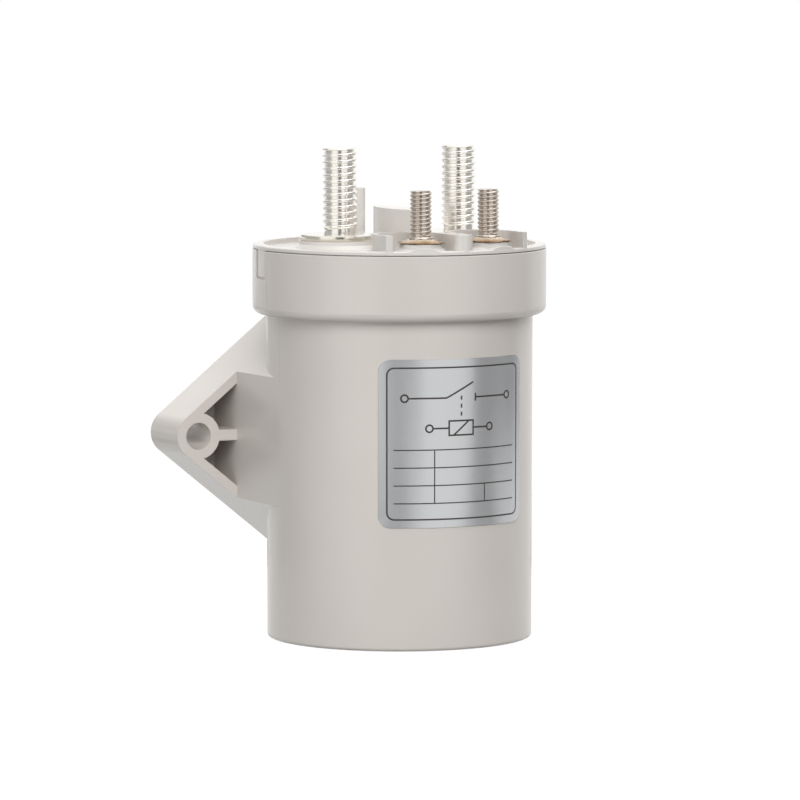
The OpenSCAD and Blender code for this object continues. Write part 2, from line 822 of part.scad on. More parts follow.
housing();
top_cover();
power_stud_left();
power_stud_right();
coil_stud_left();
coil_stud_right();
coil_seal_left();
coil_seal_right();
rating_label();
yoke_cup();
bobbin();
coil_winding();
pole_plate();
fixed_core();
guide_sleeve();
plunger();
plunger_shaft();
return_spring();
spring_seat();
overtravel_spring();
bridge_retainer();
contact_bridge();
moving_contact_left();
moving_contact_right();
fixed_contact_left();
fixed_contact_right();
arc_chamber();
blowout_magnet_front();
blowout_magnet_rear();
header();
potting_resin();
coil_lead_left();
coil_lead_right();
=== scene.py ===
import math

import bmesh
import bpy
from mathutils import Matrix, Vector


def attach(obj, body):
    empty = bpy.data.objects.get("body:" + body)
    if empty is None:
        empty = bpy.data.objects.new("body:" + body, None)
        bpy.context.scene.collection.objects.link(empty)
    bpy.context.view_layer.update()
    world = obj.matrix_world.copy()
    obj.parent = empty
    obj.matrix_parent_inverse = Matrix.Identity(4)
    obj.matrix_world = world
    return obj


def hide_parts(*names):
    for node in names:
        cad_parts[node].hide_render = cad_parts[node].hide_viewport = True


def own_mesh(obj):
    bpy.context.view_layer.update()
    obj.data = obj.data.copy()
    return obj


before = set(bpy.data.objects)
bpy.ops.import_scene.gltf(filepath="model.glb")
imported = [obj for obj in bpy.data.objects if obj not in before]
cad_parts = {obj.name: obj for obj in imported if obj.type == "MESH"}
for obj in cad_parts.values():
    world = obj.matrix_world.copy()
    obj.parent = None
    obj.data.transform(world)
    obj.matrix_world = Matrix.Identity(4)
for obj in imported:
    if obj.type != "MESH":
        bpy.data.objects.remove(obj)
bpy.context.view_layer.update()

# The photograph's viewpoint: a long lens about 1.36 m from the can's axis, a little above the cover. It is
# turned 27 degrees to the left of the label, so that the left ear and both pairs of studs are seen.
CAMERA_REACH = 1.3594
CAMERA_HEIGHT = 0.1745
CAMERA_TURN = math.radians(27.11)
CAMERA_TILT = math.radians(90 - 5.065)
scene = bpy.context.scene
scene.view_settings.view_transform = "Standard"
camera = bpy.data.objects.new("camera", bpy.data.cameras.new("camera"))
scene.collection.objects.link(camera)
camera.data.sensor_width = 36
camera.data.lens = 269.0
camera.data.shift_x = 0.0008
camera.data.clip_start = 0.1
camera.data.clip_end = 20
camera.location = (-CAMERA_REACH * math.sin(CAMERA_TURN),
                   -CAMERA_REACH * math.cos(CAMERA_TURN), CAMERA_HEIGHT)
camera.rotation_euler = (CAMERA_TILT, 0, -CAMERA_TURN)
scene.camera = camera

# The studio: a white surround and a sweep of white paper. A broad softbox stands beside the camera and one
# hangs overhead, two light the rims from behind, and a low one lights the ear from the left.
# Dark flags out of the picture show only in gloss, and give the bright studs their dark streaks.
LIGHT_TARGET = Vector((0, 0, 0.05))
SURROUND_LIGHT = 0.30
PAPER_REACH = 4
PAPER_DROP = 0.0002
PAPER_GREY = 0.30
PAPER_GLOW = 1.15
PAPER_GLOW_SHARE = 0.86
FLAG_REACH = 0.45
FLAG_TOP = 0.26
LOW_FLAG_TOP = 0.04
FLOOR_FLAG_EDGES = (0.0005, 0.001)
FLOOR_FLAG_END = 0.42


def softbox(name, place, width, height, power, mirrored=False):
    lamp = bpy.data.lights.new(name, "AREA")
    lamp.shape = "RECTANGLE"
    lamp.size = width
    lamp.size_y = height
    lamp.energy = power
    box = bpy.data.objects.new(name, lamp)
    scene.collection.objects.link(box)
    box.location = place
    box.rotation_euler = (LIGHT_TARGET - Vector(place)).to_track_quat("-Z", "Y").to_euler()
    box.visible_camera = False
    box.visible_glossy = mirrored


def feed(tree, fed, inputs):
    for name, value in inputs.items():
        if isinstance(value, bpy.types.NodeSocket):
            tree.links.new(value, fed.inputs[name])
        else:
            fed.inputs[name].default_value = value


def add_node(tree, kind, inputs, **settings):
    made = tree.nodes.new(kind)
    for name, value in settings.items():
        setattr(made, name, value)
    feed(tree, made, inputs)
    return made


def worked_out(tree, operation, *values):
    return add_node(tree, "ShaderNodeMath", dict(enumerate(values)), operation=operation).outputs[0]


def ranged(tree, value, start, end, at_start, at_end):
    limits = {"From Min": start, "From Max": end, "To Min": at_start, "To Max": at_end}
    return add_node(tree, "ShaderNodeMapRange", {"Value": value, **limits}).outputs["Result"]


def white_rays(tree):
    rays = add_node(tree, "ShaderNodeLightPath", {}).outputs
    seen = worked_out(tree, "MAXIMUM", rays["Is Camera Ray"], rays["Is Glossy Ray"])
    return worked_out(tree, "MAXIMUM", seen, rays["Is Transmission Ray"])


def new_finish(name):
    finish = bpy.data.materials.new(name)
    finish.use_nodes = True
    return finish


def shader_of(finish):
    return finish.node_tree.nodes["Principled BSDF"]


def square(bm):
    return bmesh.ops.create_grid(bm, x_segments=1, y_segments=1, size=0.5)["verts"]


def object_from(bm, name, finish):
    mesh = bpy.data.meshes.new(name)
    bm.to_mesh(mesh)
    bm.free()
    mesh.materials.append(finish)
    made = bpy.data.objects.new(name, mesh)
    scene.collection.objects.link(made)
    return made


def flag(name, azimuth, width, z0, z1, shade, near=FLAG_REACH, far=FLAG_REACH):
    bm = bmesh.new()
    square(bm)
    lean = math.atan2(z1 - z0, far - near)
    bmesh.ops.scale(bm, vec=(width, math.hypot(z1 - z0, far - near), 1), verts=bm.verts)
    bmesh.ops.rotate(bm, matrix=Matrix.Rotation(math.pi - lean, 3, "X"), verts=bm.verts)
    bmesh.ops.translate(bm, vec=(0, -(near + far) / 2, (z0 + z1) / 2), verts=bm.verts)
    bmesh.ops.rotate(bm, matrix=Matrix.Rotation(math.radians(azimuth), 3, "Z"), verts=bm.verts)
    cloth = new_finish(name)
    feed(cloth.node_tree, shader_of(cloth), {"Base Color": (shade, shade, shade, 1), "Specular IOR Level": 0})
    card = object_from(bm, name, cloth)
    card.visible_camera = False
    card.visible_diffuse = False
    card.visible_shadow = False
    card.visible_transmission = False


softbox("front_softbox", (-0.42, -1.36, 1.06), width=1.0, height=1.0, power=22)
softbox("overhead_softbox", (0.25, 0.12, 1.38), width=1.2, height=1.2, power=10.8, mirrored=True)
softbox("left_rim_softbox", (-0.05, 1.45, 0.35), width=0.9, height=0.8, power=16)
softbox("right_rim_softbox", (1.24, 0.75, 0.35), width=0.8, height=0.8, power=13)
softbox("left_softbox", (-1.36, -0.50, 0.20), width=0.8, height=0.35, power=3.8)
world = bpy.data.worlds.new("white_surround")
world.use_nodes = True
scene.world = world
tree = world.node_tree
level = ranged(tree, white_rays(tree), 0, 1, SURROUND_LIGHT, 1.0)
feed(tree, tree.nodes["Background"], {"Color": (1, 1, 1, 1), "Strength": level})
paper = new_finish("white_paper")
tree = paper.node_tree
sheet = shader_of(paper)
feed(tree, sheet, {"Base Color": (PAPER_GREY, PAPER_GREY, PAPER_GREY, 1), "Roughness": 0.9,
                   "Specular IOR Level": 0})
lift = add_node(tree, "ShaderNodeEmission", {"Color": (1, 1, 1, 1), "Strength": PAPER_GLOW})
share = ranged(tree, white_rays(tree), 0, 1, 0, PAPER_GLOW_SHARE)
both = add_node(tree, "ShaderNodeMixShader", {"Fac": share, 1: sheet.outputs[0], 2: lift.outputs[0]})
feed(tree, tree.nodes["Material Output"], {"Surface": both.outputs[0]})
bm = bmesh.new()
bmesh.ops.create_grid(bm, x_segments=1, y_segments=1, size=PAPER_REACH)
bmesh.ops.translate(bm, vec=(0, 0, -PAPER_DROP), verts=bm.verts)
object_from(bm, "floor", paper)
flag("flag_camera", -27, 0.20, 0.045, FLAG_TOP, shade=0.13)
flag("flag_right", 61, 0.54, 0.045, FLAG_TOP, shade=0.43)
flag("flag_right_low", 66, 0.48, 0, LOW_FLAG_TOP, shade=0.08)
flag("flag_front_low", -24, 0.26, 0, LOW_FLAG_TOP, shade=0.42)
flag("flag_left", -115, 0.50, 0, FLAG_TOP, shade=0.44)
flag("flag_rear_low", -158, 0.45, 0, LOW_FLAG_TOP, shade=0.55)
flag("flag_rear", -158, 0.20, 0.09, FLAG_TOP, shade=0.30)
flag("floor_flag_back", 153, 0.14, *FLOOR_FLAG_EDGES, shade=0.20, near=0.13, far=FLOOR_FLAG_END)
flag("floor_flag_left", -125, 0.18, *FLOOR_FLAG_EDGES, shade=0.25, near=0.15, far=FLOOR_FLAG_END)
flag("floor_flag_front", -30, 0.10, *FLOOR_FLAG_EDGES, shade=0.25, near=0.12, far=FLOOR_FLAG_END)
flag("floor_flag_right", 45, 0.14, *FLOOR_FLAG_EDGES, shade=0.25, near=0.12, far=FLOOR_FLAG_END)

# The can: one moulding in warm light grey thermoplastic, with its collar, closed foot and mounting base.
# The spark-eroded mould leaves a fine even grain, and its two halves leave a faint line up each side.
# The group gives any moulded piece its slow shade drift, its roughness and the grain's height.
GRAIN_SCALE = 2600.0
GRAIN_DEPTH = 0.0000018
GRAIN_STRENGTH = 0.35
EDGE_ROUNDING = 0.00022
DRIFT_SCALE = 38
PARTING_CORE = 0.00006
PARTING_EDGE = 0.00024
PARTING_HEIGHT = 0.0001
CAN_SIDE = 0.0295
BASE_TOP = 0.0605


def shared_effect(name, inputs, outputs):
    group = bpy.data.node_groups.new(name, "ShaderNodeTree")
    for label, kind, value in inputs:
        group.interface.new_socket(name=label, in_out="INPUT", socket_type=kind).default_value = value
    for label in outputs:
        group.interface.new_socket(name=label, in_out="OUTPUT", socket_type="NodeSocketFloat")
    return group, group.nodes.new("NodeGroupInput").outputs, group.nodes.new("NodeGroupOutput")


def object_place(tree):
    return add_node(tree, "ShaderNodeTexCoord", {}).outputs["Object"]


def axes_of(tree):
    return add_node(tree, "ShaderNodeSeparateXYZ", {"Vector": object_place(tree)}).outputs


def blended(tree, share, first, second):
    colours = {"Factor": share, "A": first, "B": second}
    return add_node(tree, "ShaderNodeMix", colours, data_type="RGBA", name="shade").outputs["Result"]


mould_texture, given, result = shared_effect(
    "mould_texture",
    (("Grain", "NodeSocketFloat", GRAIN_SCALE),
     ("Low Roughness", "NodeSocketFloat", 0.4),
     ("High Roughness", "NodeSocketFloat", 0.5)),
    ("Drift", "Roughness", "Height"))
place = object_place(mould_texture)
grain = add_node(mould_texture, "ShaderNodeTexNoise",
                 {"Vector": place, "Scale": given["Grain"], "Detail": 3, "Roughness": 0.6}).outputs["Fac"]
drift = add_node(mould_texture, "ShaderNodeTexNoise",
                 {"Vector": place, "Scale": DRIFT_SCALE, "Detail": 4}).outputs["Fac"]
mark = ranged(mould_texture, grain, 0.35, 0.65, given["Low Roughness"], given["High Roughness"])
feed(mould_texture, result, {"Drift": drift, "Roughness": mark, "Height": grain})


def moulded(name, dark, light, low, high, grain_scale=GRAIN_SCALE, depth=GRAIN_DEPTH, edge=EDGE_ROUNDING):
    finish = new_finish(name)
    tree = finish.node_tree
    values = {"Grain": grain_scale, "Low Roughness": low, "High Roughness": high}
    texture = add_node(tree, "ShaderNodeGroup", values, node_tree=mould_texture, name="texture").outputs
    rounding = add_node(tree, "ShaderNodeBevel", {"Radius": edge}, samples=6).outputs["Normal"]
    bumps = {"Strength": GRAIN_STRENGTH, "Distance": depth, "Height": texture["Height"], "Normal": rounding}
    relief = add_node(tree, "ShaderNodeBump", bumps, name="relief").outputs["Normal"]
    shade = blended(tree, texture["Drift"], (*dark, 1), (*light, 1))
    feed(tree, shader_of(finish), {"Base Color": shade, "Roughness": texture["Roughness"], "Normal": relief})
    return finish


def raised(finish, height, strength, distance):
    tree = finish.node_tree
    under = tree.nodes["relief"].outputs["Normal"]
    bumps = {"Strength": strength, "Distance": distance, "Height": height, "Normal": under}
    feed(tree, shader_of(finish), {"Normal": add_node(tree, "ShaderNodeBump", bumps).outputs["Normal"]})


def dress(finish, *names):
    for name in names:
        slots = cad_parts[name].data.materials
        slots.clear()
        slots.append(finish)


housing_grey = moulded("housing_grey", (0.572, 0.537, 0.500), (0.622, 0.586, 0.549), 0.21, 0.27)
tree = housing_grey.node_tree
axes = axes_of(tree)
parting = ranged(tree, worked_out(tree, "ABSOLUTE", axes["Y"]), PARTING_CORE, PARTING_EDGE, 1, 0)
at_side = worked_out(tree, "GREATER_THAN", worked_out(tree, "ABSOLUTE", axes["X"]), CAN_SIDE)
above_base = worked_out(tree, "GREATER_THAN", axes["Z"], BASE_TOP)
on_can = worked_out(tree, "MULTIPLY", at_side, above_base)
raised(housing_grey, worked_out(tree, "MULTIPLY", parting, on_can), strength=0.9, distance=PARTING_HEIGHT)
dress(housing_grey, "housing")

# The cover: a second moulding in the same plastic, smoother, with bosses, bays and fins.
# It drops into the collar, keyed by a tab at each side, and is glued there.
# Its grey is a shade lighter than the can's, which is painted light from above on its top faces.
cover_grey_painted_light = moulded("cover_grey_painted_light", (0.605, 0.578, 0.546), (0.655, 0.628, 0.596), 0.19, 0.25)
dress(cover_grey_painted_light, "top_cover")

# The power studs: turned copper with a seat flange and a rolled 5/16 inch thread, then bright plated.
# The thread is a toothed outline spun once round while it climbs by one pitch, cut flat at both ends.
# The group gives any metal its cloudy patches, stretched along the piece, and the gloss that goes with them.
MM = 0.001
WELD = 0.000002
POWER_X = 15.2
POWER_FOOT = 67.3
POWER_TOP = 112.0
POWER_SHANK = 5.0
SEAT_RADIUS = 9.0
SEAT_FOOT = 91.1
SEAT_TOP = 92.4
FLANGE = ((0, POWER_FOOT), (POWER_SHANK, POWER_FOOT), (POWER_SHANK, SEAT_FOOT),
          (SEAT_RADIUS - 0.2, SEAT_FOOT), (SEAT_RADIUS - 0.06, SEAT_FOOT + 0.06),
          (SEAT_RADIUS, SEAT_FOOT + 0.2), (SEAT_RADIUS, SEAT_TOP - 0.22),
          (SEAT_RADIUS - 0.06, SEAT_TOP - 0.06), (SEAT_RADIUS - 0.2, SEAT_TOP),
          (3.3, SEAT_TOP), (3.2, SEAT_TOP + 0.2), (0, SEAT_TOP + 0.2))
# The flange's side takes a pale gold tint. Its top face is left untinted and so lighter, which is painted
# light from above.
SEAT_TINT = (0.88, 0.84, 0.73, 1)
SEAT_TINT_TOP = 0.09205
SEAT_TINT_END = 0.09236
TOOTH = ((0, 0), (0, 0.30), (0.9, 0.50), (1, 0.54), (1, 0.76), (0.9, 0.80))
THREAD_STEPS = 56
TIP_SLOPE = 1.3
RELIEF_FULLNESS = 1.02
RELIEF_SLOPE = 2.0
METAL_STRETCH = (900, 900, 240)
STUD_STRETCH = (420, 420, 160)
METAL_STRENGTH = 0.3
PATCH_DEPTH = 0.000006


def drawn(bm, outline, x, y):
    points = [bm.verts.new((x + r * MM, y, z * MM)) for r, z in outline]
    return points + [bm.edges.new(pair) for pair in zip(points, points[1:])]


def turned(bm, outline, x, y, steps):
    profile = drawn(bm, outline, x, y)
    bmesh.ops.spin(bm, geom=profile, cent=(x, y, 0), axis=(0, 0, 1), angle=math.tau, steps=steps,
                   use_merge=True)
    bmesh.ops.remove_doubles(bm, verts=bm.verts, dist=WELD)


def thread(bm, x, y, low, high, major, depth, pitch, relief, tip):
    minor = major - depth
    outline = []
    z = low - 2 * pitch
    while z < high + pitch:
        outline += [(minor + out * depth, z + up * pitch) for out, up in TOOTH]
        z += pitch
    profile = drawn(bm, outline, x, y)
    climb = (0, 0, pitch * MM / THREAD_STEPS)
    bmesh.ops.spin(bm, geom=profile, cent=(x, y, 0), axis=(0, 0, 1), dvec=climb, angle=math.tau,
                   steps=THREAD_STEPS)
    bmesh.ops.remove_doubles(bm, verts=bm.verts, dist=WELD)
    for height, keep_below in ((high, True), (low, False)):
        bmesh.ops.bisect_plane(bm, geom=bm.verts[:] + bm.edges[:] + bm.faces[:], dist=WELD / 4,
                               plane_co=(0, 0, height * MM), plane_no=(0, 0, 1),
                               clear_outer=keep_below, clear_inner=not keep_below)
    bmesh.ops.holes_fill(bm, edges=[e for e in bm.edges if e.is_boundary], sides=0)
    for v in bm.verts:
        reach = Vector((v.co.x - x, v.co.y - y))
        limit = tip * MM + (high * MM - v.co.z) * TIP_SLOPE
        rise = v.co.z - (low + relief) * MM
        if rise < major * MM:
            limit = min(limit, minor * MM * RELIEF_FULLNESS + max(0.0, rise) * RELIEF_SLOPE)
        if reach.length > limit:
            reach *= limit / reach.length
            v.co.x = x + reach.x
            v.co.y = y + reach.y


def joined(*parts):
    whole = bmesh.new()
    for part in parts:
        mesh = bpy.data.meshes.new("part")
        part.to_mesh(mesh)
        part.free()
        whole.from_mesh(mesh)
        bpy.data.meshes.remove(mesh)
    return whole


def piece_from(bm, name, finish, body, crease=35):
    bmesh.ops.recalc_face_normals(bm, faces=bm.faces)
    for f in bm.faces:
        f.smooth = True
    for e in bm.edges:
        if len(e.link_faces) == 2 and e.calc_face_angle() > math.radians(crease):
            e.smooth = False
    piece = object_from(bm, name, finish)
    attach(piece, body)
    return piece


def worked_vector(tree, operation, *values):
    made = add_node(tree, "ShaderNodeVectorMath", dict(enumerate(values)), operation=operation)
    return made.outputs["Vector"]


metal_patches, given, result = shared_effect(
    "metal_patches",
    (("Stretch", "NodeSocketVector", METAL_STRETCH),
     ("Low Roughness", "NodeSocketFloat", 0.2),
     ("High Roughness", "NodeSocketFloat", 0.3)),
    ("Patches", "Roughness"))
stretched = worked_vector(metal_patches, "MULTIPLY", object_place(metal_patches), given["Stretch"])
patches = add_node(metal_patches, "ShaderNodeTexNoise",
                   {"Vector": stretched, "Scale": 1.0, "Detail": 5}).outputs["Fac"]
gloss = ranged(metal_patches, patches, 0.3, 0.7, given["Low Roughness"], given["High Roughness"])
feed(metal_patches, result, {"Patches": patches, "Roughness": gloss})


def metal(name, dark, light, low, high, stretch=METAL_STRETCH, depth=PATCH_DEPTH, metallic=1.0):
    finish = new_finish(name)
    tree = finish.node_tree
    values = {"Stretch": stretch, "Low Roughness": low, "High Roughness": high}
    texture = add_node(tree, "ShaderNodeGroup", values, node_tree=metal_patches, name="texture").outputs
    bumps = {"Strength": METAL_STRENGTH, "Distance": depth, "Height": texture["Patches"]}
    relief = add_node(tree, "ShaderNodeBump", bumps, name="relief").outputs["Normal"]
    shade = blended(tree, texture["Patches"], (*dark, 1), (*light, 1))
    feed(tree, shader_of(finish), {"Base Color": shade, "Roughness": texture["Roughness"], "Normal": relief,
                                   "Metallic": metallic})
    return finish


bright_plate = metal("bright_plate", (0.88, 0.855, 0.805), (0.99, 0.965, 0.92), 0.16, 0.26,
                     stretch=STUD_STRETCH, depth=0.000002)
tree = bright_plate.node_tree
# The tint stops just under the flange's top face, which stays lighter as painted light from above.
side_below_lit_top = ranged(tree, axes_of(tree)["Z"], SEAT_TINT_TOP, SEAT_TINT_END, 1, 0)
side_tint_lit_top = blended(tree, side_below_lit_top, tree.nodes["shade"].outputs["Result"], SEAT_TINT)
feed(tree, shader_of(bright_plate), {"Base Color": side_tint_lit_top})
for side, x in (("left", -POWER_X * MM), ("right", POWER_X * MM)):
    flange = bmesh.new()
    turned(flange, FLANGE, x, 0, steps=96)
    screw = bmesh.new()
    thread(screw, x, 0, SEAT_TOP - 0.1, POWER_TOP, major=3.97, depth=0.46, pitch=1.47, relief=1.5, tip=3.75)
    stud = piece_from(joined(flange, screw), "power_stud_%s_turned" % side, bright_plate, "contactor")
    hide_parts("power_stud_%s" % side)

# The coil studs: number 10 steel screws, dull and slightly brown, with a plain round foot.
# They are set in the flared bosses of the cover, inside its two bays.
COIL_X = 8.5
COIL_Y = -27.1
COIL_FOOT = 78.3
COIL_TOP = 103.3
BOSS_TOP = 91.5
COLLAR_TOP = 93.05
COIL_STUD_FOOT = ((0, COIL_FOOT), (2, COIL_FOOT), (2, BOSS_TOP), (2.75, BOSS_TOP), (2.75, COLLAR_TOP - 0.2),
                  (2.6, COLLAR_TOP - 0.05), (2, COLLAR_TOP), (0, COLLAR_TOP))
coil_steel = metal("coil_steel", (0.50, 0.44, 0.385), (0.68, 0.60, 0.535), 0.20, 0.30,
                   stretch=STUD_STRETCH, depth=0.000003)
for side, x in (("left", -COIL_X * MM), ("right", COIL_X * MM)):
    foot = bmesh.new()
    turned(foot, COIL_STUD_FOOT, x, COIL_Y * MM, steps=48)
    screw = bmesh.new()
    thread(screw, x, COIL_Y * MM, COLLAR_TOP - 0.15, COIL_TOP,
           major=2.415, depth=0.25, pitch=0.93, relief=0.4, tip=2.3)
    stud = piece_from(joined(foot, screw), "coil_stud_%s_turned" % side, coil_steel, "contactor")
    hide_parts("coil_stud_%s" % side)

# The seals: amber resin run in round each coil stud, which crept up its foot and spread over the boss.
# It set in a thin skirt with a wavy, slightly lifted rim, pale where it is thin and brown at the edge.
SKIRT = ((2.8, 91.50), (4.4, 91.50), (4.9, 91.60), (5.3, 91.70), (5.42, 91.80), (5.2, 91.90), (4.6, 91.97),
         (3.9, 92.06), (3.4, 92.2), (3.05, 92.4), (2.8, 92.55), (2.8, 91.50))
WAVE_FOOT = 91.55
WAVE_HEIGHT = 0.14
RUN_START = 4.85
RUN_DROP = 0.15
RAGGED_START = 3.2
RAGGED_WIDTH = 2.2
RAGGED_SHARE = 0.09
COVER_REACH = 33.25
SECOND_SEAL_TURN = 1.3
UNEVEN_WIDTH = 0.0016
PALE_REACH = 0.0036
BROWN_REACH = 0.0060
amber = moulded("amber_resin", (0.20, 0.105, 0.035), (0.60, 0.44, 0.27), 0.18, 0.34,
                grain_scale=900.0, depth=0.00008, edge=0.0001)
tree = amber.node_tree
mirrored = worked_vector(tree, "ABSOLUTE", object_place(tree))
off_axis = worked_vector(tree, "SUBTRACT", mirrored, (COIL_X * MM, -COIL_Y * MM, 0))
across = worked_vector(tree, "MULTIPLY", off_axis, (1, 1, 0))
spread = add_node(tree, "ShaderNodeVectorMath", {0: across}, operation="LENGTH").outputs["Value"]
uneven = worked_out(tree, "MULTIPLY_ADD", tree.nodes["texture"].outputs["Drift"], UNEVEN_WIDTH, spread)
outwards = ranged(tree, uneven, PALE_REACH, BROWN_REACH, 0, 1)
resin_shades = add_node(tree, "ShaderNodeValToRGB", {"Fac": outwards})
resin_shades.color_ramp.elements[0].color = (0.62, 0.54, 0.43, 1)
resin_shades.color_ramp.elements[1].color = (0.15, 0.072, 0.025, 1)
resin_shades.color_ramp.elements.new(0.62).color = (0.42, 0.265, 0.128, 1)
feed(tree, shader_of(amber), {"Base Color": resin_shades.outputs["Color"]})
for side, x, turn in (("left", -COIL_X * MM, 0), ("right", COIL_X * MM, SECOND_SEAL_TURN)):
    bm = bmesh.new()
    turned(bm, SKIRT, x, COIL_Y * MM, steps=96)
    for v in bm.verts:
        reach = Vector((v.co.x - x, v.co.y - COIL_Y * MM))
        a = math.atan2(reach.y, reach.x) + turn
        wave = 0.5 * math.sin(3 * a + 0.4) + 0.3 * math.sin(7 * a + 1.1) + 0.2 * math.sin(13 * a)
        v.co.z += WAVE_HEIGHT * MM * wave * min(1.0, max(0.0, (v.co.z / MM - WAVE_FOOT) / 0.2))
        run = max(0.0, -reach.y / reach.length) ** 3
        v.co.z -= RUN_DROP * MM * run * min(1.0, max(0.0, reach.length / MM - RUN_START) / 0.4)
        out = max(0.0, reach.length / MM - RAGGED_START) / RAGGED_WIDTH
        shrink = 1 - RAGGED_SHARE * out * (0.5 + 0.3 * math.sin(5 * a + 2) + 0.2 * math.sin(11 * a))
        rim = Vector((x + reach.x * shrink, COIL_Y * MM + reach.y * shrink))
        if rim.length > COVER_REACH * MM:
            rim *= COVER_REACH * MM / rim.length
        v.co.x = rim.x
        v.co.y = rim.y
    seal = piece_from(bm, "coil_seal_%s_resin" % side, amber, "contactor", crease=60)
    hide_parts("coil_seal_%s" % side)

# The glue: grey adhesive that holds the cover in the collar and fills the slits round the two key tabs to
# just under the surface.
TAB_TURN = 97.3
TAB_HALF = 2.7
TAB_FOOT = 82.9
SLIT = 0.2
SLIT_TOP = 88.65
GLUE_FRONT = 33.2
GLUE_DEPTH = 0.85
BEAD = ((-TAB_HALF - SLIT, SLIT_TOP), (-TAB_HALF - SLIT, TAB_FOOT - 2 * SLIT),
        (TAB_HALF + SLIT, TAB_FOOT - 2 * SLIT), (TAB_HALF + SLIT, SLIT_TOP),
        (TAB_HALF, SLIT_TOP), (TAB_HALF, TAB_FOOT), (-TAB_HALF, TAB_FOOT), (-TAB_HALF, SLIT_TOP))
# The glue is darker than the can, which is painted shade in the slits, so that each tab shows as a soft dark
# outline.
glue_and_slit_shade = moulded("glue_and_slit_shade", (0.47, 0.44, 0.405), (0.53, 0.50, 0.462), 0.30, 0.45)
beads = []
for turn in (TAB_TURN, 360 - TAB_TURN):
    bead = bmesh.new()
    front = bead.faces.new([bead.verts.new((u * MM, -GLUE_FRONT * MM, z * MM)) for u, z in BEAD])
    made = bmesh.ops.extrude_face_region(bead, geom=[front])["geom"]
    back = [v for v in made if isinstance(v, bmesh.types.BMVert)]
    bmesh.ops.translate(bead, vec=(0, GLUE_DEPTH * MM, 0), verts=back)
    bmesh.ops.rotate(bead, matrix=Matrix.Rotation(math.radians(turn), 3, "Z"), verts=bead.verts)
    beads.append(bead)
cover_glue_and_slit_shade = piece_from(joined(*beads), "cover_glue_and_slit_shade", glue_and_slit_shade, "contactor")

# The label: a sheet of metallised foil with rounded corners and very faint rolling streaks down it.
# It is stuck round the front of the can.
foil = metal("label_foil", (0.568, 0.577, 0.586), (0.582, 0.591, 0.597), 0.215, 0.235,
             stretch=(1400, 1400, 30), depth=0.00000008, metallic=0.7)
dress(foil, "rating_label")

# The label's print: dark ink in a plain ruled plate, a frame with empty fields and the circuit symbol of a
# coil that closes a contact. It is laid out flat in millimetres, cut into strips and rolled onto the foil.
PLATE_WIDTH = 34.6
PLATE_HEIGHT = 34.4
PLATE_MIDDLE = 46.8
PLATE_CORNER = 1.8
FRAME_LINE = 0.35
SYMBOL_LINE = 0.38
RULE_LINE = 0.26
RING = 1.0
CONTACT_Z = 57.0
CONTACT_END = 13.2
CONTACT_GAP = 3.6
STOP_HALF = 0.9
BLADE_TIP = (3.0, 60.4)
DASH = 0.9
DASH_FEET = (52.9, 54.7, 56.5)
COIL_Z = 50.2
COIL_END = 7.6
COIL_BOX_WIDTH = 6.4
COIL_BOX_HEIGHT = 3.6
SLASH_WIDTH = 3.8
SLASH_HEIGHT = 3.2
FIELD_EDGE = 15.6
FIELD_ROWS = (45.4, 41.4, 37.4, 33.4)
FIRST_COLUMN = -6.4
LAST_COLUMN = 6.2
INK_RADIUS = 30.39
CAN_TAPER = 0.0027
ROLL_RADIUS = 30.3
INK_THICKNESS = 0.000015
STRIP_EDGES = range(-17, 18)
STROKES = ((-CONTACT_END + RING, CONTACT_Z, -CONTACT_GAP, CONTACT_Z),
           (-CONTACT_GAP, CONTACT_Z, *BLADE_TIP),
           (CONTACT_GAP, CONTACT_Z, CONTACT_END - RING, CONTACT_Z),
           (CONTACT_GAP, CONTACT_Z - STOP_HALF, CONTACT_GAP, CONTACT_Z + STOP_HALF),
           (-COIL_END + RING, COIL_Z, -COIL_BOX_WIDTH / 2, COIL_Z),
           (COIL_BOX_WIDTH / 2, COIL_Z, COIL_END - RING, COIL_Z),
           *((0, z, 0, z + DASH) for z in DASH_FEET),
           (-SLASH_WIDTH / 2, COIL_Z - SLASH_HEIGHT / 2, SLASH_WIDTH / 2, COIL_Z + SLASH_HEIGHT / 2))


def rule(bm, u0, z0, u1, z1, width):
    bar = square(bm)
    bmesh.ops.scale(bm, vec=(math.hypot(u1 - u0, z1 - z0), width, 1), verts=bar)
    bmesh.ops.rotate(bm, matrix=Matrix.Rotation(math.atan2(z1 - z0, u1 - u0), 3, "Z"), verts=bar)
    bmesh.ops.translate(bm, vec=((u0 + u1) / 2, (z0 + z1) / 2, 0), verts=bar)
    return bar


def hollow(bm, face, width):
    bmesh.ops.inset_region(bm, faces=[face], thickness=width, use_even_offset=True, use_boundary=True)
    bmesh.ops.delete(bm, geom=[face], context="FACES")


ink = moulded("label_ink", (0.030, 0.025, 0.023), (0.046, 0.039, 0.036), 0.40, 0.55)
bm = bmesh.new()
plate = rule(bm, -PLATE_WIDTH / 2, PLATE_MIDDLE, PLATE_WIDTH / 2, PLATE_MIDDLE, PLATE_HEIGHT)
bmesh.ops.bevel(bm, geom=plate, offset=PLATE_CORNER, segments=6, profile=0.5, affect="VERTICES", material=-1)
bm.faces.ensure_lookup_table()
hollow(bm, bm.faces[0], FRAME_LINE)
for u, z in ((-CONTACT_END, CONTACT_Z), (CONTACT_END, CONTACT_Z), (-COIL_END, COIL_Z), (COIL_END, COIL_Z)):
    disc = bmesh.ops.create_circle(bm, cap_ends=True, radius=RING, segments=20)["verts"]
    bmesh.ops.translate(bm, vec=(u, z, 0), verts=disc)
    hollow(bm, disc[0].link_faces[0], SYMBOL_LINE)
coil_box = rule(bm, -COIL_BOX_WIDTH / 2, COIL_Z, COIL_BOX_WIDTH / 2, COIL_Z, COIL_BOX_HEIGHT)
hollow(bm, coil_box[0].link_faces[0], SYMBOL_LINE)
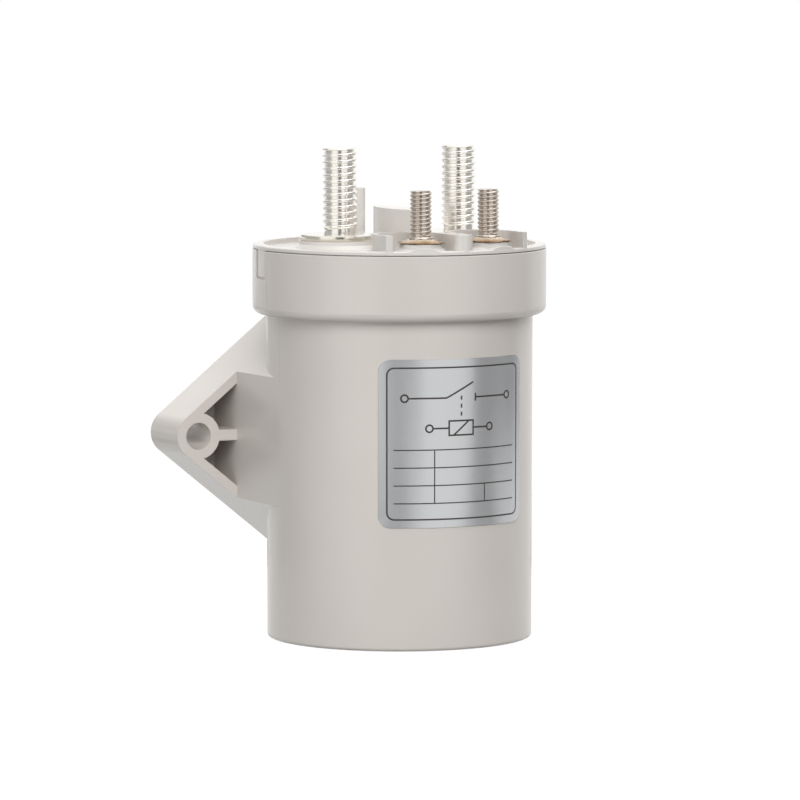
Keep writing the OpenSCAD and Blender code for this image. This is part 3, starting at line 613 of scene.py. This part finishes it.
for stroke in STROKES:
    rule(bm, *stroke, SYMBOL_LINE)
for z in FIELD_ROWS:
    rule(bm, -FIELD_EDGE, z, FIELD_EDGE, z, RULE_LINE)
rule(bm, FIRST_COLUMN, FIELD_ROWS[3], FIRST_COLUMN, FIELD_ROWS[0], RULE_LINE)
rule(bm, LAST_COLUMN, FIELD_ROWS[3], LAST_COLUMN, FIELD_ROWS[2], RULE_LINE)
for u in STRIP_EDGES:
    everything = bm.verts[:] + bm.edges[:] + bm.faces[:]
    bmesh.ops.bisect_plane(bm, geom=everything, plane_co=(u, 0, 0), plane_no=(1, 0, 0))
for v in bm.verts:
    reach = (INK_RADIUS + CAN_TAPER * v.co.y) * MM
    turn = v.co.x / ROLL_RADIUS
    v.co = (reach * math.sin(turn), -reach * math.cos(turn), v.co.y * MM)
bm.normal_update()
inward = [f for f in bm.faces if f.normal.to_2d().dot(f.calc_center_median().to_2d()) < 0]
bmesh.ops.reverse_faces(bm, faces=inward)
bmesh.ops.solidify(bm, geom=bm.faces[:], thickness=INK_THICKNESS)
label_print = piece_from(bm, "label_print", ink, "contactor", crease=30)

# The magnetic circuit: cup, pole plate, fixed core and plunger, turned from soft iron and left dull.
# The cup fills the lower half of the can, and the plunger slides in the middle of it.
soft_iron = metal("soft_iron", (0.36, 0.36, 0.35), (0.46, 0.46, 0.45), 0.32, 0.46)
dress(soft_iron, "yoke_cup", "pole_plate", "fixed_core", "plunger")

# The coil: enamelled copper wire in even layers on a black moulded bobbin, with one red and one black lead
# that run up to the coil studs.
WIRES_SCALE = 628
WIRES_HEIGHT = 0.00015
winding = metal("winding_copper", (0.50, 0.20, 0.08), (0.66, 0.30, 0.14), 0.22, 0.34)
tree = winding.node_tree
layers = add_node(tree, "ShaderNodeTexWave", {"Vector": object_place(tree), "Scale": WIRES_SCALE},
                  bands_direction="Z")
raised(winding, layers.outputs["Fac"], strength=0.8, distance=WIRES_HEIGHT)
dress(winding, "coil_winding")
bobbin_black = moulded("bobbin_black", (0.015, 0.015, 0.016), (0.028, 0.028, 0.030), 0.35, 0.5)
dress(bobbin_black, "bobbin", "coil_lead_right")
lead_red = moulded("lead_red", (0.32, 0.02, 0.015), (0.42, 0.03, 0.02), 0.35, 0.5)
dress(lead_red, "coil_lead_left")

# The guide: a thin drawn tube of stainless steel, closed at the foot, that the plunger runs in.
# The ground shaft, its washer and its clip are of the same steel, and the plunger carries them.
stainless = metal("stainless", (0.52, 0.52, 0.51), (0.64, 0.64, 0.63), 0.22, 0.34)
dress(stainless, "guide_sleeve", "plunger_shaft", "spring_seat", "bridge_retainer")

# The springs: round music wire, wound with a closed turn at each end. One stands between plunger and core and
# opens the contacts. Here it is in two lengths, which follow the two joints and meet at its second turn.
# The other sits on the shaft's washer and presses the bridge up.
RETURN_RADIUS = 4.25
RETURN_WIRE = 0.5
RETURN_FOOT = 15.62
RETURN_MEET = 18.682
RETURN_CLOSED = 1.05
RETURN_PITCH = 2.012
PRESSING_RADIUS = 3.55
PRESSING_WIRE = 0.55
PRESSING_FOOT = 53.07
PRESSING_CLOSED = 1.155
PRESSING_PITCH = 1.183
WIRE_SIDES = 12
TURN_STEPS = 36
spring_wire = metal("spring_wire", (0.48, 0.48, 0.47), (0.60, 0.60, 0.59), 0.18, 0.28)


def coiled(name, body, node, radius, wire, foot, stages):
    bm = bmesh.new()
    ring = bmesh.ops.create_circle(bm, radius=wire * MM, segments=WIRE_SIDES)["verts"]
    bmesh.ops.rotate(bm, matrix=Matrix.Rotation(math.radians(90), 3, "X"), verts=ring)
    bmesh.ops.translate(bm, vec=(radius * MM, 0, foot * MM), verts=ring)
    tip = bm.verts[:] + bm.edges[:]
    for turns, pitch in stages:
        climb = (0, 0, pitch * MM / TURN_STEPS)
        made = bmesh.ops.spin(bm, geom=tip, cent=(0, 0, 0), axis=(0, 0, 1), dvec=climb,
                              angle=math.tau * turns, steps=TURN_STEPS * turns)
        tip = made["geom_last"]
    bmesh.ops.holes_fill(bm, edges=[e for e in bm.edges if e.is_boundary], sides=0)
    spring = piece_from(bm, name, spring_wire, body, crease=60)
    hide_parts(node)
    return spring


lower_turns = coiled("return_spring_lower", "bridge", "return_spring", RETURN_RADIUS, RETURN_WIRE,
                     RETURN_FOOT, ((1, RETURN_CLOSED), (1, RETURN_PITCH)))
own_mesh(lower_turns)
upper_turns = coiled("return_spring_upper", "contactor", "return_spring", RETURN_RADIUS, RETURN_WIRE,
                     RETURN_MEET, ((4, RETURN_PITCH), (1, RETURN_CLOSED)))
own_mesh(upper_turns)
pressing_spring = coiled("overtravel_spring_coil", "armature", "overtravel_spring", PRESSING_RADIUS,
                         PRESSING_WIRE, PRESSING_FOOT,
                         ((1, PRESSING_CLOSED), (3, PRESSING_PITCH), (1, PRESSING_CLOSED)))
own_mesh(pressing_spring)

# The contacts: a stamped copper bridge that carries two buttons of silver alloy.
# Two fixed buttons of the same alloy are brazed under the power studs.
copper = metal("copper", (0.60, 0.28, 0.14), (0.75, 0.38, 0.21), 0.24, 0.38)
dress(copper, "contact_bridge")
contact_alloy = metal("contact_alloy", (0.62, 0.61, 0.59), (0.72, 0.71, 0.69), 0.28, 0.42)
dress(contact_alloy, "fixed_contact_left", "fixed_contact_right")
dress(contact_alloy, "moving_contact_left", "moving_contact_right")

# The arc chamber and its header: cream insulating mouldings that hold the contacts apart.
# Two sintered magnets stand beside the chamber, and black potting resin is poured on top of the header.
insulator = moulded("insulator", (0.68, 0.64, 0.55), (0.75, 0.71, 0.62), 0.45, 0.6)
dress(insulator, "arc_chamber", "header")
magnet_grey = moulded("magnet_grey", (0.05, 0.05, 0.052), (0.08, 0.08, 0.082), 0.5, 0.65)
dress(magnet_grey, "blowout_magnet_front", "blowout_magnet_rear")
potting_black = moulded("potting_black", (0.016, 0.015, 0.015), (0.026, 0.025, 0.025), 0.12, 0.22)
dress(potting_black, "potting_resin")
